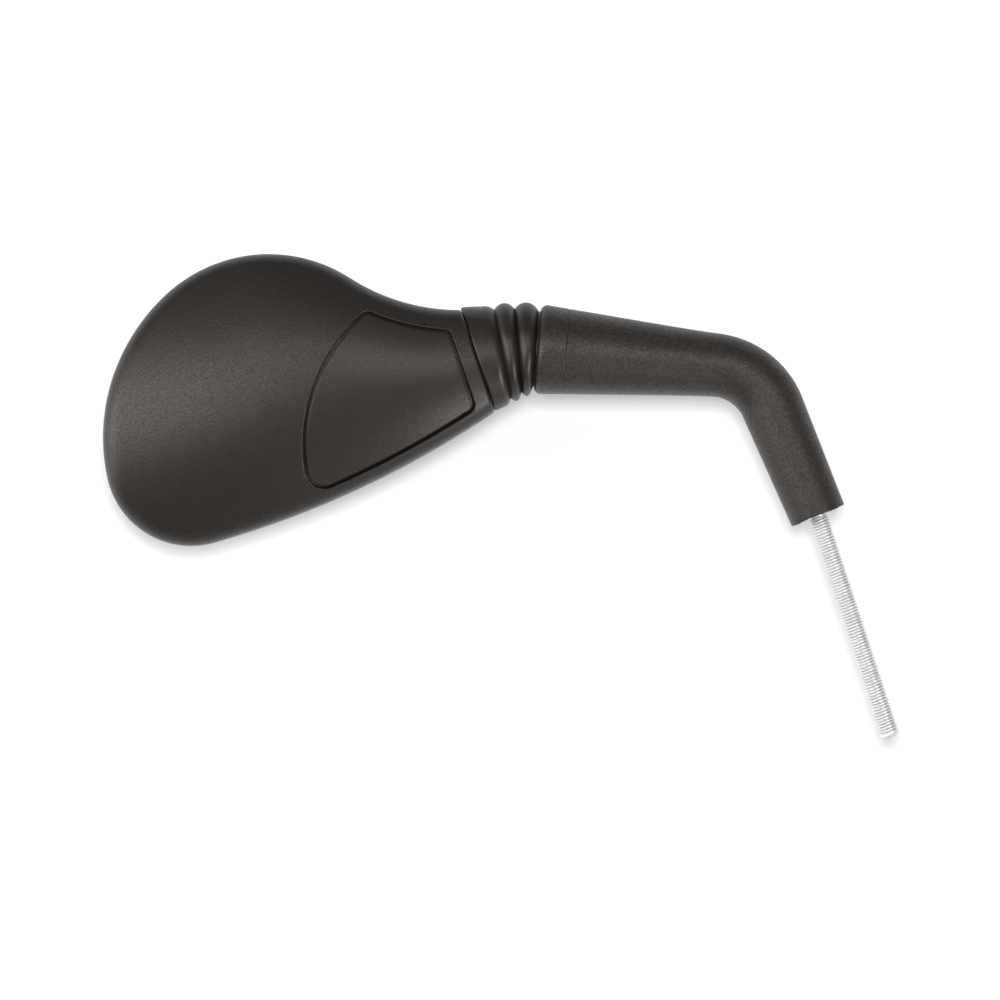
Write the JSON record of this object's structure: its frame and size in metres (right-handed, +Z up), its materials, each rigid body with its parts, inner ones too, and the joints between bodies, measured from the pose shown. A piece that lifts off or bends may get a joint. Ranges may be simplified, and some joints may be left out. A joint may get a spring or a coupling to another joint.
{
  "type": "scooter mirror",
  "caption": "Right-hand scooter rear-view mirror: rounded black head with convex glass on a cranked, sleeved arm with a threaded stem and a rubber-booted ball joint.",
  "frame": {"origin": "on the axis of the threaded stem, where the thread ends under the arm", "axes": "+Z up along the stem, +X inboard towards the middle of the scooter, +Y rearwards out of the glass"},
  "size_m": [0.2911, 0.0452, 0.278],
  "materials": {
    "zinc_steel": "satin",
    "bright_steel": "satin",
    "spring_steel": "satin",
    "cast_alloy": "matte",
    "arm_rubber": "matte",
    "boot_rubber": "satin",
    "nylon": "satin",
    "housing_black": "matte",
    "cover_black": "satin",
    "foam": "matte",
    "mirror": "polished"
  },
  "bodies": {
    "arm": {"stem_rod": "zinc_steel", "joint_ball": "bright_steel", "arm_sleeve": "arm_rubber", "bellows_boot": "boot_rubber"},
    "front_seat": {"seat_ring": "nylon"},
    "rear_seat": {"pressure_pad": "nylon"},
    "head": {"thrust_washer": "bright_steel", "friction_spring": "spring_steel", "spring_plug": "bright_steel", "ball_socket": "cast_alloy", "socket_screw_upper": "bright_steel", "socket_screw_lower": "bright_steel", "screw_washer_upper": "bright_steel", "screw_washer_lower": "bright_steel", "mirror_housing": "housing_black", "access_cover": "cover_black", "glass_pad": "foam", "mirror_glass": "mirror"}
  },
  "joints": [
    {"name": "head_dip", "type": "hinge", "parent": "arm", "child": "front_seat", "pos_m": [-0.09712, 0, 0.10655], "axis": [0, 1, 0], "range_deg": [-12, 12], "deforming": ["bellows_boot"]},
    {"name": "head_swing", "type": "hinge", "parent": "front_seat", "child": "rear_seat", "pos_m": [-0.09712, 0, 0.10655], "axis": [0, 0, 1], "range_deg": [-15, 15], "deforming": ["bellows_boot"]},
    {"name": "head_roll", "type": "hinge", "parent": "rear_seat", "child": "head", "pos_m": [-0.09712, 0, 0.10655], "axis": [1, 0, 0], "range_deg": [-15, 15], "deforming": ["bellows_boot"]}
  ]
}
